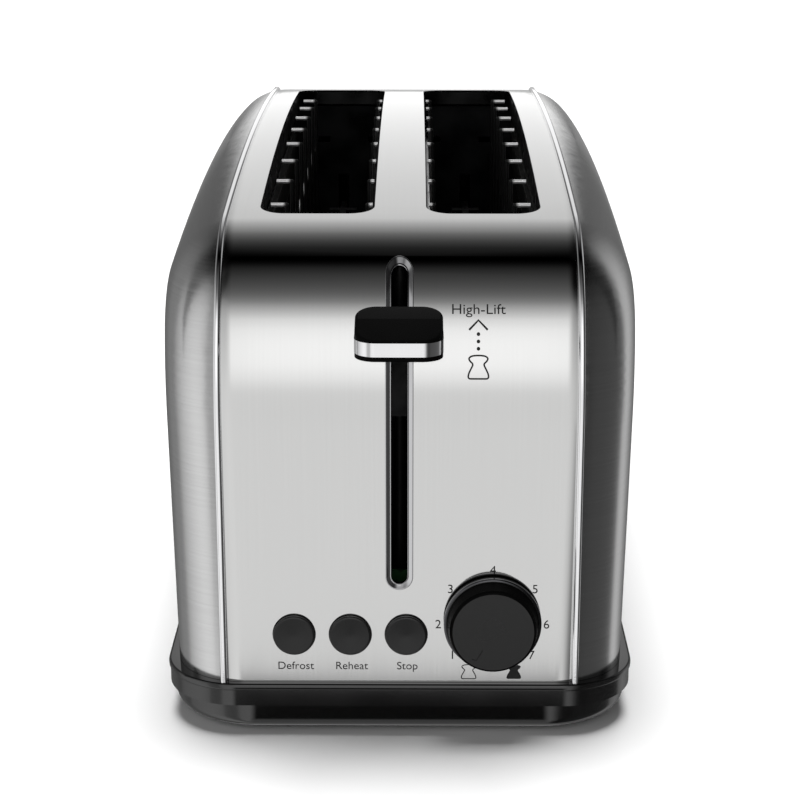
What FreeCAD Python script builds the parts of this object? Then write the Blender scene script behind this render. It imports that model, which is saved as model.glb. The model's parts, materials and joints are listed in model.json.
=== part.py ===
import FreeCAD, Part
import math
import os
import Sketcher

# Pop-up toaster with two long slots.  Millimetres, +Z up, front towards -Y,
# X = 0 in the middle of the width, Z = 0 on the surface that it stands on.

DRIVING = {
    # case
    "front": 183, "rear": 199, "shell_half": 78.4, "side_lean": 1.15, "case_foot": 19.6, "sheet_gauge": 0.8,
    "corner_start": 110.5, "lower_radius": 88, "lower_turn": 25, "upper_radius": 46, "upper_turn": 85,
    "edge_radius": 24.9, "seam_half": 61, "seam_gap": 0.2, "bead_width": 2.3, "bead_rise": 1.3,
    "bead_round": 0.9,
    # bread slots
    "slot_inner": 9.05, "slot_outer": 49.5, "slot_half_length": 139.5, "slot_corner": 9, "liner_floor": 168,
    # lever slot
    "trim_half": 4.75, "opening_half": 2.7, "opening_low": 56, "opening_high": 164, "trim_lip": 2,
    "trim_proud": 0.35, "trim_depth": 1.2,
    # base
    "rim_half": 82.6, "rim_proud": 2.2, "rim_corner": 26, "rim_top": 19.5, "rim_under": 17, "step_level": 11.3,
    "wall_inset": 0.5, "step_inset": 1.8, "hollow_inset": 4.2, "deck_inset": 12.5, "flange_inset": 22,
    "flange_low": 4, "flange_high": 6.2, "skirt_low": 1.8, "skirt_round": 4, "rim_round": 0.8,
    "lower_corner": 31, "hollow_corner": 27,
    "plate_low": 3.2, "foot_x": 48, "foot_radius": 7, "foot_back": 12.8,
    "screw_inset": 15, "screw_radius": 1.5, "screw_head": 3,
    # crumb tray
    "tray_half": 50, "tray_low": 6.5, "tray_high": 15.5, "tray_gauge": 0.7, "tray_front_gap": 26,
    "tray_end": 1.8, "grip_proud": 2.6,
    # heating chamber
    "chamber_half": 146, "chassis_half": 54, "chassis_low": 21, "chassis_high": 166, "chassis_gauge": 1,
    "board_gauge": 0.8, "side_board": 51, "board_low": 40, "board_high": 160, "wall_x": 53,
    "ribbon_gauge": 0.2, "ribbon_width": 1.6, "ribbon_pitch": 13, "ribbon_low": 48, "ribbon_reach": 133,
    # bread guides and racks
    "wire_radius": 0.8, "wire_pitch": 33.4, "outer_cage": 41, "inner_cage": 12, "cage_low": 40,
    "long_wire_low": 44, "long_wire_high": 150, "outer_bend": 5.7, "inner_bend": 1.9, "bend_drop": 3.5,
    "rack_x": 29.3, "rack_low": 112, "rack_high": 118.5, "rack_half": 1.5, "rung_half": 6.5,
    "rung_radius": 1,
    # lever and carriage
    "rod_back": 28, "rod_radius": 2, "bush_radius": 4.6, "running_gap": 0.06,
    "carriage_back": 19, "carriage_gauge": 1.2, "carriage_low": 110.5, "carriage_high": 147,
    "web_half": 11, "cross_half": 36, "cross_low": 111, "cross_high": 123, "rod_top": 163.2,
    "sleeve_low": 114, "sleeve_high": 142, "lug_low": 121.6, "lug_back": 33, "keeper_back": 36,
    "arm_half": 1.8, "arm_low": 143.5, "arm_high": 149, "arm_reach": 18,
    "knob_half": 14.35, "knob_low": 142.4, "knob_high": 155.6, "knob_face": 24.6, "knob_rear": 2,
    "knob_corner": 7, "band_low": 144, "band_high": 148.6, "knob_edge": 1.1,
    "crest_depth": 12, "crest_drop": 2.2, "nose_drop": 6.6, "band_gauge": 1,
    # front controls
    "button_radius": 7.2, "button_level": 37.5, "button_gap": 0.3, "dial_x": 32.1, "dial_level": 42.5,
    "shaft_radius": 3, "shaft_reach": 6.5, "circuit_back": 13, "circuit_gauge": 1.6,
    # cord gland
    "gland_x": 43, "gland_level": 35, "gland_bore": 3.9, "gland_reach": 8.75,
}

BUTTONS = {"defrost_button": -36.3, "reheat_button": -16.9, "stop_button": 2.4}

doc = FreeCAD.newDocument("PopUpToaster")
sheet = doc.addObject("Spreadsheet::Sheet", "Sizes")
for row, (alias, number) in enumerate(DRIVING.items(), start=1):
    sheet.set(f"A{row}", alias.replace("_", " "))
    sheet.set(f"B{row}", str(number))
    sheet.setAlias(f"B{row}", alias)
doc.recompute()

SUBPARTS = []


class Size:
    """A number together with the sheet formula that it comes from."""

    def __init__(self, number, text=None):
        self.number = float(number)
        self.text = text or f"{float(number):.6g}"

    def combine(self, other, sign, number):
        return Size(number, f"({self.text} {sign} {other.text})")

    def __add__(self, other):
        other = as_size(other)
        return self.combine(other, "+", self.number + other.number)

    def __sub__(self, other):
        other = as_size(other)
        return self.combine(other, "-", self.number - other.number)

    def __mul__(self, other):
        other = as_size(other)
        return self.combine(other, "*", self.number * other.number)

    def __truediv__(self, other):
        other = as_size(other)
        return self.combine(other, "/", self.number / other.number)

    def __radd__(self, other):
        return as_size(other) + self

    def __rsub__(self, other):
        return as_size(other) - self

    def __rmul__(self, other):
        return as_size(other) * self

    def __neg__(self):
        return Size(-self.number, f"(-{self.text})")


class Sheet:
    """Gives each driving dimension by its alias."""

    def __getattr__(self, alias):
        return Size(DRIVING[alias], "Sizes." + alias)


def as_size(value):
    return value if isinstance(value, Size) else Size(value)


def cosine(angle):
    return Size(math.cos(math.radians(angle.number)), f"cos({angle.text} * 1 deg)")


S = Sheet()
MIDDLE = (S.rear - S.front) / 2


def behind(distance):
    """Y at a distance behind the front panel's plane."""
    return distance - S.front


def bind(item, sizes):
    for path, size in sizes.items():
        item.setExpression(path, as_size(size).text)


def subpart(item, node):
    item.Label = node
    SUBPARTS.append(item)
    return item


# ---------------------------------------------------------------- solids

def block(name, x, y, z):
    """Box between two sizes on each axis."""
    item = doc.addObject("Part::Box", name)
    bind(item, {
        "Length": x[1] - as_size(x[0]), "Width": y[1] - as_size(y[0]), "Height": z[1] - as_size(z[0]),
        "Placement.Base.x": x[0], "Placement.Base.y": y[0], "Placement.Base.z": z[0]})
    return item


TURN_TO_AXIS = {
    "X": FreeCAD.Rotation(FreeCAD.Vector(0, 1, 0), 90),
    "Y": FreeCAD.Rotation(FreeCAD.Vector(1, 0, 0), -90),
    "Z": FreeCAD.Rotation(),
}


def rod(name, axis, centre, radius, span):
    """Cylinder along an axis, between two sizes on it; centre gives the other two coordinates."""
    item = doc.addObject("Part::Cylinder", name)
    item.Placement = FreeCAD.Placement(FreeCAD.Vector(), TURN_TO_AXIS[axis])
    start = list(centre)
    start.insert("XYZ".index(axis), span[0])
    bind(item, {"Radius": radius, "Height": span[1] - as_size(span[0])})
    bind(item, {"Placement.Base." + letter: size for letter, size in zip("xyz", start)})
    return item


def ball(name, centre, radius):
    item = doc.addObject("Part::Sphere", name)
    bind(item, {"Radius": radius})
    bind(item, {"Placement.Base." + letter: size for letter, size in zip("xyz", centre)})
    return item


def join(name, shapes):
    item = doc.addObject("Part::MultiFuse", name)
    item.Shapes = shapes
    return item


def gather(name, shapes):
    """Separate solids in one object."""
    item = doc.addObject("Part::Compound", name)
    item.Links = shapes
    return item


def keep_common(name, shapes):
    item = doc.addObject("Part::MultiCommon", name)
    item.Shapes = shapes
    return item


def cut(name, base, tools):
    item = doc.addObject("Part::Cut", name)
    item.Base = base
    item.Tool = tools[0] if len(tools) == 1 else join(name + "_tools", tools)
    return item


# ---------------------------------------------------------------- sketches

def origin_feature(body, role):
    return next(feature for feature in body.Origin.OriginFeatures if feature.Role == role)


def new_sketch(body, name, role, offset=0):
    sketch = body.newObject("Sketcher::SketchObject", name)
    sketch.AttachmentSupport = [(origin_feature(body, role), "")]
    sketch.MapMode = "FlatFace"
    bind(sketch, {"AttachmentOffset.Base.z": offset})
    return sketch


def hold(sketch, kind, references, size):
    """Adds a constraint whose value is bound to a size."""
    index = sketch.addConstraint(Sketcher.Constraint(kind, *references, size.number))
    sketch.setExpression(f"Constraints[{index}]", size.text)


def hold_point(sketch, geometry, point, across, up):
    """Holds a point at its two coordinates in the sketch."""
    for kind, line, size in (("DistanceX", -2, as_size(across)), ("DistanceY", -1, as_size(up))):
        if abs(size.number) < 1e-9:
            sketch.addConstraint(Sketcher.Constraint("PointOnObject", geometry, point, line))
        elif size.number > 0:
            hold(sketch, kind, (-1, 1, geometry, point), size)
        else:
            hold(sketch, kind, (geometry, point, -1, 1), -size)


def polygon(sketch, points):
    """Closed outline of straight lines, each corner held at its coordinates."""
    corners = [FreeCAD.Vector(as_size(a).number, as_size(b).number, 0) for a, b in points]
    count = len(corners)
    for i in range(count):
        sketch.addGeometry(Part.LineSegment(corners[i], corners[(i + 1) % count]), False)
    for i in range(count):
        sketch.addConstraint(Sketcher.Constraint("Coincident", i, 2, (i + 1) % count, 1))
        hold_point(sketch, i, 1, *points[i])


def add_arc(sketch, centre, radius, start, end):
    """Arc from a start angle to an end angle, in degrees, anticlockwise."""
    circle = Part.Circle(FreeCAD.Vector(centre[0], centre[1], 0), FreeCAD.Vector(0, 0, 1), radius)
    return sketch.addGeometry(Part.ArcOfCircle(circle, math.radians(start), math.radians(end)), False)


def add_line(sketch, start, end):
    return sketch.addGeometry(Part.LineSegment(FreeCAD.Vector(*start, 0), FreeCAD.Vector(*end, 0)), False)


def rounded_rectangle(sketch, across, up, radius):
    """Rectangle between two sizes each way, with round corners."""
    radius = as_size(radius)
    (x0, x1), (y0, y1), r = [as_size(a).number for a in across], [as_size(a).number for a in up], radius.number
    add_line(sketch, (x0 + r, y0), (x1 - r, y0))
    add_arc(sketch, (x1 - r, y0 + r), r, 270, 360)
    add_line(sketch, (x1, y0 + r), (x1, y1 - r))
    add_arc(sketch, (x1 - r, y1 - r), r, 0, 90)
    add_line(sketch, (x1 - r, y1), (x0 + r, y1))
    add_arc(sketch, (x0 + r, y1 - r), r, 90, 180)
    add_line(sketch, (x0, y1 - r), (x0, y0 + r))
    add_arc(sketch, (x0 + r, y0 + r), r, 180, 270)
    for i in range(8):
        sketch.addConstraint(Sketcher.Constraint("Tangent", i, 2, (i + 1) % 8, 1))
    for line, kind in ((0, "Horizontal"), (2, "Vertical"), (4, "Horizontal"), (6, "Vertical")):
        sketch.addConstraint(Sketcher.Constraint(kind, line))
    for arc in (3, 5, 7):
        sketch.addConstraint(Sketcher.Constraint("Equal", 1, arc))
    hold(sketch, "Radius", (1,), radius)
    for kind, line, size in (("DistanceX", 6, across[0]), ("DistanceX", 2, across[1]),
                             ("DistanceY", 0, up[0]), ("DistanceY", 4, up[1])):
        size = as_size(size)
        if size.number > 0:
            hold(sketch, kind, (-1, 1, line, 1), size)
        else:
            hold(sketch, kind, (line, 1, -1, 1), -size)


def side_outline(body, name, grow, foot, plane_x):
    """Case seen from the side, grown outwards: upright ends, corners of two radii, arched top."""
    grow = as_size(grow)
    step = S.lower_radius - S.upper_radius
    reach = S.lower_radius - step * cosine(S.lower_turn)
    top_radius = S.upper_radius + (S.front + MIDDLE - reach) / cosine(S.upper_turn)
    y1, z1 = S.front.number, S.corner_start.number
    y2, z2 = y1 - reach.number, z1 + step.number * math.sin(math.radians(S.lower_turn.number))
    middle, rear = MIDDLE.number, S.rear.number
    low, high = 180 - S.lower_turn.number, 180 - S.upper_turn.number
    r1, r2, r3 = S.lower_radius.number, S.upper_radius.number, top_radius.number
    z3 = z2 - (r3 - r2) * math.sin(math.radians(S.upper_turn.number))
    bottom = as_size(foot).number

    sketch = new_sketch(body, name, "YZ_Plane", plane_x)
    add_line(sketch, (-y1, bottom), (-y1, z1))
    add_arc(sketch, (r1 - y1, z1), r1, low, 180)
    add_arc(sketch, (-y2, z2), r2, high, low)
    add_arc(sketch, (middle, z3), r3, 180 - high, high)
    add_arc(sketch, (2 * middle + y2, z2), r2, 180 - low, 180 - high)
    add_arc(sketch, (rear - r1, z1), r1, 0, 180 - low)
    add_line(sketch, (rear, z1), (rear, bottom))
    add_line(sketch, (rear, bottom), (-y1, bottom))
    for first, second in (((0, 2), (1, 2)), ((1, 1), (2, 2)), ((2, 1), (3, 2)),
                          ((3, 1), (4, 2)), ((4, 1), (5, 2)), ((5, 1), (6, 1))):
        sketch.addConstraint(Sketcher.Constraint("Tangent", *first, *second))
    sketch.addConstraint(Sketcher.Constraint("Coincident", 6, 2, 7, 1))
    sketch.addConstraint(Sketcher.Constraint("Coincident", 7, 2, 0, 1))
    for line, kind in ((0, "Vertical"), (6, "Vertical"), (7, "Horizontal")):
        sketch.addConstraint(Sketcher.Constraint(kind, line))
    for arc, radius in ((1, S.lower_radius), (5, S.lower_radius), (2, S.upper_radius),
                        (4, S.upper_radius), (3, top_radius)):
        hold(sketch, "Radius", (arc,), radius + grow)
    hold(sketch, "DistanceX", (0, 1, -1, 1), S.front + grow)
    hold(sketch, "DistanceX", (-1, 1, 6, 2), S.rear + grow)
    hold(sketch, "DistanceY", (-1, 1, 0, 1), as_size(foot))
    hold(sketch, "DistanceY", (-1, 1, 1, 3), S.corner_start)
    hold(sketch, "DistanceY", (-1, 1, 5, 3), S.corner_start)
    hold(sketch, "DistanceX", (2, 3, -1, 1), S.front - reach)
    hold(sketch, "DistanceX", (-1, 1, 4, 3), S.rear - reach)
    return sketch


# ---------------------------------------------------------------- bodies

def new_body(name):
    return doc.addObject("PartDesign::Body", name)


def pad(body, sketch, length):
    feature = body.newObject("PartDesign::Pad", sketch.Name + "_pad")
    feature.Profile = sketch
    bind(feature, {"Length": length})
    sketch.Visibility = False
    doc.recompute()
    return feature


def pocket(body, sketch, length, reverse=False):
    feature = body.newObject("PartDesign::Pocket", sketch.Name + "_pocket")
    feature.Profile = sketch
    feature.Reversed = reverse
    bind(feature, {"Length": length})
    before = feature.BaseFeature.Shape.Volume
    doc.recompute()
    if not feature.Shape.Volume < before - 0.01:
        raise RuntimeError(feature.Name + " cuts nothing")
    return feature


def fillet(body, name, base, radius, chosen):
    """Rounds the edges of a feature for which chosen(edge) is true."""
    doc.recompute()
    names = [f"Edge{i}" for i, edge in enumerate(base.Shape.Edges, start=1) if chosen(edge)]
    feature = body.newObject("PartDesign::Fillet", name)
    feature.Base = (base, names)
    bind(feature, {"Radius": radius})
    doc.recompute()
    return feature


def lean(body, name, base, angle):
    """Tilts a solid's two X faces about the surface it stands on, wider towards the top."""
    names = [f"Face{i}" for i, face in enumerate(base.Shape.Faces, start=1) if face.BoundBox.XLength < 1e-6]
    feature = body.newObject("PartDesign::Draft", name)
    feature.Base = (base, names)
    feature.NeutralPlane = (origin_feature(body, "XY_Plane"), [""])
    feature.Reversed = True
    bind(feature, {"Angle": angle})
    doc.recompute()
    return feature


def case_solid(name, grow, foot, x, rounding=None, leaning=None):
    """The case's side outline made solid between two X sizes, its long rim edges rounded."""
    body = new_body(name)
    sketch = side_outline(body, name + "_outline", grow, foot, x[0])
    width = x[1] - as_size(x[0])
    base = pad(body, sketch, width)
    if leaning is not None:
        base = lean(body, name + "_lean", base, leaning)
    if rounding is not None:
        bottom, narrow = as_size(foot).number, width.number / 4
        fillet(body, name + "_rounding", base, rounding,
               lambda edge: edge.BoundBox.XLength < narrow and edge.BoundBox.ZMax > bottom + 1)
    return body


def rounded_prism(name, x, y, z, radius):
    """Upright prism with a rounded rectangle as its plan."""
    body = new_body(name)
    sketch = new_sketch(body, name + "_plan", "XY_Plane", z[0])
    rounded_rectangle(sketch, x, y, radius)
    pad(body, sketch, z[1] - as_size(z[0]))
    return body


def stadium(name, half, z, y):
    """Slot-shaped prism along Y with round upper and lower ends."""
    return join(name, [
        block(name + "_straight", (-half, half), y, (z[0] + half, z[1] - half)),
        rod(name + "_lower", "Y", (0, z[0] + half), half, y),
        rod(name + "_upper", "Y", (0, z[1] - half), half, y)])


def turned(name, outline, centre, tilt):
    """Turned solid: outline in (radius, height), its axis tilted about X and standing at centre."""
    body = new_body(name)
    sketch = new_sketch(body, name + "_section", "XZ_Plane")
    polygon(sketch, outline)
    feature = body.newObject("PartDesign::Revolution", name + "_turning")
    feature.Profile = sketch
    feature.ReferenceAxis = (sketch, ["V_Axis"])
    feature.Angle = 360
    body.Placement = FreeCAD.Placement(FreeCAD.Vector(), FreeCAD.Rotation(FreeCAD.Vector(1, 0, 0), tilt))
    bind(body, {"Placement.Base." + letter: size for letter, size in zip("xyz", centre)})
    return body


TO_FRONT, TO_REAR, UPRIGHT = 90, -90, 0


# ---------------------------------------------------------------- case

def make_case():
    """Centre cover, side shells and the beads over their seams."""
    whole = case_solid("case_block", 0, S.case_foot, (-S.shell_half, S.shell_half), S.edge_radius, S.side_lean)
    inner_half = S.shell_half - S.sheet_gauge
    void = case_solid("case_void", -S.sheet_gauge, S.case_foot - 3, (-inner_half, inner_half),
                      S.edge_radius - S.sheet_gauge, S.side_lean)
    skin = cut("case_skin", whole, [void])
    length, height = (-S.front - 20, S.rear + 20), (0, 200)
    cover_half = S.seam_half - S.seam_gap / 2
    middle = block("cover_span", (-cover_half, cover_half), length, height)
    cover = cut("centre_cover", keep_common("cover_skin", [skin, middle]), cover_openings())
    subpart(cover, "centre_cover")
    for side, sign in (("left", -1), ("right", 1)):
        edges = (S.seam_half + S.seam_gap / 2, S.shell_half + 10)
        span = edges if sign > 0 else (-edges[1], -edges[0])
        outer = block(side + "_shell_span", span, length, height)
        subpart(keep_common(side + "_side_shell", [skin, outer]), side + "_side_shell")
        make_bead(side, sign, whole)
    return void


def make_bead(side, sign, whole):
    """Half-round strip that stands proud of the case over one seam."""
    inner, outer = S.seam_half - S.bead_width / 2, S.seam_half + S.bead_width / 2
    span = (inner, outer) if sign > 0 else (-outer, -inner)
    strip = case_solid(side + "_bead_strip", S.bead_rise, S.case_foot, span, S.bead_round)
    subpart(cut(side + "_seam_bead", strip, [whole]), side + "_seam_bead")


def cover_openings():
    """Bread slots, lever slot, button holes, dial hole, gland hole and rear screw holes."""
    tools = []
    through_front = (behind(-5), behind(5))
    through_rear = (S.rear - 5, S.rear + 5)
    for side, sign in (("left", -1), ("right", 1)):
        span = (S.slot_inner, S.slot_outer) if sign > 0 else (-S.slot_outer, -S.slot_inner)
        ends = (MIDDLE - S.slot_half_length, MIDDLE + S.slot_half_length)
        tools.append(rounded_prism(side + "_slot_opening", span, ends, (150, 200), S.slot_corner))
    tools.append(stadium("lever_opening", S.trim_half, (S.opening_low - S.trim_lip, S.opening_high + S.trim_lip),
                         (behind(-5), behind(30))))
    for name, x in BUTTONS.items():
        tools.append(rod(name + "_hole", "Y", (x, S.button_level), S.button_radius + S.button_gap,
                         through_front))
    tools.append(rod("dial_hole", "Y", (S.dial_x, S.dial_level), S.shaft_radius + 1.2, through_front))
    tools.append(rod("gland_hole", "Y", (S.gland_x, S.gland_level), 6.4, through_rear))
    for number, x in enumerate((-30, 30)):
        tools.append(rod(f"rear_screw_hole_{number}", "Y", (x, 27), S.screw_radius, through_rear))
    return tools


def make_slot_liners(void):
    """Folded steel rims under the edges of the bread slots."""
    gauge = S.sheet_gauge
    for side, sign in (("left", -1), ("right", 1)):
        inner = (S.slot_inner, S.slot_outer) if sign > 0 else (-S.slot_outer, -S.slot_inner)
        outer = (inner[0] - gauge, inner[1] + gauge)
        ends = (MIDDLE - S.slot_half_length, MIDDLE + S.slot_half_length)
        around = rounded_prism(side + "_liner_block", outer, (ends[0] - gauge, ends[1] + gauge),
                               (S.liner_floor, 190), S.slot_corner + gauge)
        opening = rounded_prism(side + "_liner_opening", inner, ends, (S.liner_floor - 1, 191), S.slot_corner)
        ring = cut(side + "_liner_ring", around, [opening])
        subpart(keep_common(side + "_slot_liner", [ring, void]), side + "_slot_liner")


def make_lever_trim():
    """Chromed ring that lines the lever slot and follows the front's curve."""
    span = (-S.trim_half, S.trim_half)
    outer = case_solid("trim_outer", S.trim_proud, S.case_foot, span)
    inner = case_solid("trim_inner", -S.trim_depth, S.case_foot - 3, (span[0] - 1, span[1] + 1))
    band = cut("trim_band", outer, [inner])
    reach = (behind(-5), behind(30))
    around = stadium("trim_around", S.trim_half, (S.opening_low - S.trim_lip, S.opening_high + S.trim_lip), reach)
    opening = stadium("trim_opening", S.opening_half, (S.opening_low, S.opening_high), reach)
    ring = keep_common("trim_ring", [band, around])
    subpart(cut("lever_slot_trim", ring, [opening]), "lever_slot_trim")


# ---------------------------------------------------------------- base

def base_plan(inset):
    """Sizes across and along the base, moved inwards by an inset."""
    half = S.rim_half - inset
    return (-half, half), (-(S.front + S.rim_proud) + inset, S.rear + S.rim_proud - inset)


def base_prism(name, inset, z, corner=None):
    """Prism with the base's plan, moved inwards by an inset."""
    across, along = base_plan(inset)
    return rounded_prism(name, across, along, z, S.rim_corner - inset if corner is None else corner)


def base_screw_places():
    """Plan positions of the screws that hold the bottom plate."""
    x = S.rim_half - S.screw_inset
    return [(sign * x, y) for sign in (-1, 1)
            for y in (MIDDLE - 150, MIDDLE + 0, MIDDLE + 150)]


def make_base_skirt():
    rim = base_prism("skirt_rim", Size(0), (S.rim_under, S.rim_top))
    fillet(rim, "skirt_rim_round", rim.Tip, S.rim_round,
           lambda edge: edge.BoundBox.ZLength < 1e-6)
    wall = base_prism("skirt_wall", S.wall_inset, (S.step_level, S.rim_under))
    lower = base_prism("skirt_lower", S.step_inset, (S.skirt_low, S.step_level), S.lower_corner)
    fillet(lower, "skirt_lower_round", lower.Tip, S.skirt_round,
           lambda edge: edge.BoundBox.ZMax < S.skirt_low.number + 1e-6)
    boss_y = (S.rear - 9, S.rear - S.sheet_gauge)
    bosses = [block(f"screw_boss_{number}", (x - 5, x + 5), boss_y, (S.rim_under, 34))
              for number, x in enumerate((-30, 30))]
    solid = join("skirt_solid", [rim, wall, lower] + bosses)
    hollow = base_prism("skirt_hollow", S.hollow_inset, (S.flange_high, S.rim_under), S.hollow_corner)
    recess = base_prism("skirt_recess", S.hollow_inset, (0, S.flange_low), S.hollow_corner)
    flange_opening = base_prism("skirt_flange_opening", S.flange_inset, (1, S.flange_high + 1))
    way_out = block("tray_way_out", (-S.tray_half - 1.8, S.tray_half + 1.8), (S.rear - 9, S.rear + 10),
                    (S.flange_high, S.rim_under))
    over_deck = base_prism("skirt_deck_opening", S.deck_inset, (S.rim_under - 1, S.rim_top + 1))
    deck_opening = cut("deck_opening", over_deck, bosses)
    deck = cut("skirt_ring", solid, [hollow, recess, flange_opening, way_out, deck_opening])
    holes = [rod(f"skirt_screw_hole_{number}", "Z", place, S.screw_radius, (0, 10))
             for number, place in enumerate(base_screw_places())]
    holes += [rod(f"boss_hole_{number}", "Y", (x, 27), S.screw_radius, (S.rear - 8, S.rear))
              for number, x in enumerate((-30, 30))]
    subpart(cut("base_skirt", deck, holes), "base_skirt")


def make_bottom_plate():
    """Steel plate under the base, with two rows of vents."""
    body = new_body("bottom_plate_sheet")
    plan = new_sketch(body, "bottom_plate_plan", "XY_Plane", S.plate_low)
    across, along = base_plan(S.hollow_inset + 0.3)
    rounded_rectangle(plan, across, along, S.hollow_corner)
    pad(body, plan, S.flange_low - S.plate_low)
    vents = new_sketch(body, "bottom_plate_vents", "XY_Plane", S.plate_low)
    first = MIDDLE - 126
    for number, x in enumerate((-46, 10)):
        start = number * 4
        corners = [(x, first), (x + 36, first), (x + 36, first + 4), (x, first + 4)]
        points = [FreeCAD.Vector(as_size(a).number, as_size(b).number, 0) for a, b in corners]
        for i in range(4):
            vents.addGeometry(Part.LineSegment(points[i], points[(i + 1) % 4]), False)
        for i in range(4):
            vents.addConstraint(Sketcher.Constraint("Coincident", start + i, 2, start + (i + 1) % 4, 1))
            hold_point(vents, start + i, 1, *corners[i])
    opening = pocket(body, vents, 4, reverse=True)
    pattern = body.newObject("PartDesign::LinearPattern", "bottom_plate_vent_rows")
    pattern.Originals = [opening]
    pattern.Direction = (origin_feature(body, "Y_Axis"), [""])
    pattern.Length = 252
    pattern.Occurrences = 15
    body.Tip = pattern
    holes = [rod(f"plate_screw_hole_{number}", "Z", place, S.screw_radius, (0, 10))
             for number, place in enumerate(base_screw_places())]
    subpart(cut("bottom_plate", body, holes), "bottom_plate")


def make_feet_and_screws():
    feet = []
    for number, (sign, y) in enumerate((sign, y) for sign in (-1, 1)
                                       for y in (behind(S.foot_back), S.rear - S.foot_back)):
        outline = [(0, 0), (S.foot_radius - 1, 0), (S.foot_radius, 1), (S.foot_radius, S.plate_low),
                   (0, S.plate_low)]
        feet.append(turned(f"rubber_foot_{number}", outline, (sign * S.foot_x, y, 0), UPRIGHT))
    subpart(gather("rubber_feet", feet), "rubber_feet")
    screws = []
    for number, place in enumerate(base_screw_places()):
        outline = [(0, S.plate_low - 1), (S.screw_head - 0.5, S.plate_low - 1), (S.screw_head, S.plate_low - 0.4),
                   (S.screw_head, S.plate_low), (S.screw_radius, S.plate_low),
                   (S.screw_radius, S.flange_high), (0, S.flange_high)]
        screws.append(turned(f"base_screw_{number}", outline, (*place, 0), UPRIGHT))
    subpart(gather("base_screws", screws), "base_screws")
    rear_screws = []
    for number, x in enumerate((-30, 30)):
        outline = [(0, 1.2), (2, 1.2), (3, 0.4), (3, 0), (S.screw_radius, 0), (S.screw_radius, -7), (0, -7)]
        rear_screws.append(turned(f"rear_screw_{number}", outline, (x, S.rear, 27), TO_REAR))
    subpart(gather("rear_cover_screws", rear_screws), "rear_cover_screws")


def make_crumb_tray():
    ends = (behind(S.tray_front_gap), S.rear - S.tray_end)
    outer = block("tray_block", (-S.tray_half, S.tray_half), ends, (S.tray_low, S.tray_high))
    gauge = S.tray_gauge
    inner = block("tray_inside", (-S.tray_half + gauge, S.tray_half - gauge),
                  (ends[0] + gauge, ends[1] - gauge), (S.tray_low + gauge, S.tray_high + 1))
    subpart(cut("crumb_tray", outer, [inner]), "crumb_tray")
    across, along = (-S.tray_half - 1.2, S.tray_half + 1.2), (S.rear - S.tray_end, S.rear + S.grip_proud)
    grip = rounded_prism("handle_block", across, along, (S.flange_high + 0.4, S.rim_under - 0.4), 1.2)
    finger = rounded_prism("handle_recess", (-22, 22), (S.rear + 0.8, S.rear + 5), (S.flange_high - 1, 13), 1.2)
    subpart(cut("crumb_tray_handle", grip, [finger]), "crumb_tray_handle")


# ---------------------------------------------------------------- heating chamber

def chassis_plate(name, y, extras):
    """Cross plate on the base's deck, with ways through for racks and guide wires."""
    main = block(name + "_main", (-S.chassis_half, S.chassis_half), y, (S.chassis_low, S.chassis_high))
    foot = block(name + "_foot", (-76, 76), y, (S.rim_top, 29))
    through = (y[0] - 2, y[1] + 2)
    tools = []
    for sign in (-1, 1):
        tools.append(block(f"{name}_rack_way_{sign + 1}",
                           (sign * S.rack_x - 2.6, sign * S.rack_x + 2.6), through, (23, 133)))
        for low, high in ((8.6, 17.4), (35.6, 44.4)):
            for level in (S.long_wire_low, S.long_wire_high):
                x = (low, high) if sign > 0 else (-high, -low)
                tools.append(block(f"{name}_wire_way_{low:.0f}_{level.number:.0f}_{sign + 1}",
                                   (as_size(x[0]), as_size(x[1])), through, (level - 1.4, level + 1.4)))
    return subpart(cut(name, join(name + "_solid", [main, foot] + extras), tools), name)


def make_chassis():
    gauge = S.chassis_gauge
    front_y = (MIDDLE - S.chamber_half - gauge, MIDDLE - S.chamber_half)
    rear_y = (MIDDLE + S.chamber_half, MIDDLE + S.chamber_half + gauge)
    tab = block("rod_tab", (-26, 26), (behind(24), front_y[1]), (162, 163.2))
    drilled = cut("rod_tab_drilled", tab, [rod("rod_tab_hole", "Z", (0, behind(S.rod_back)), S.rod_radius,
                                               (150, 170))])
    chassis_plate("front_chassis_plate", front_y, [drilled])
    chassis_plate("rear_chassis_plate", rear_y, [])
    shelf = block("shelf_sheet", (-52, 52), (behind(6), front_y[0]),
                  (S.rim_top, S.rim_top + 1.2))
    hole = rod("shelf_hole", "Z", (0, behind(S.rod_back)), S.rod_radius, (10, 30))
    subpart(cut("mechanism_shelf", shelf, [hole]), "mechanism_shelf")
    along = (front_y[1], rear_y[0])
    for side, sign in (("left", -1), ("right", 1)):
        x = (S.wall_x, S.wall_x + 0.6) if sign > 0 else (-S.wall_x - 0.6, -S.wall_x)
        subpart(block(side + "_heat_wall", x, along, (24, S.chassis_high)), side + "_heat_wall")
    bar = block("element_bus_bar", (-52, 52), (rear_y[1], rear_y[1] + 1), (156, 160))
    subpart(bar, "element_bus_bar")


def heating_wire(name, x):
    """Flat ribbon that runs to and fro along a board, between two X sizes."""
    strips = []
    rows = 9
    width = S.ribbon_width
    for row in range(rows):
        low = S.ribbon_low + S.ribbon_pitch * row
        strips.append(block(f"{name}_row_{row}", x, (MIDDLE - S.ribbon_reach, MIDDLE + S.ribbon_reach),
                            (low, low + width)))
        if row < rows - 1:
            end = MIDDLE + S.ribbon_reach - width if row % 2 else MIDDLE - S.ribbon_reach
            strips.append(block(f"{name}_turn_{row}", x, (end, end + width), (low, low + S.ribbon_pitch)))
    return join(name, strips)


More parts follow.
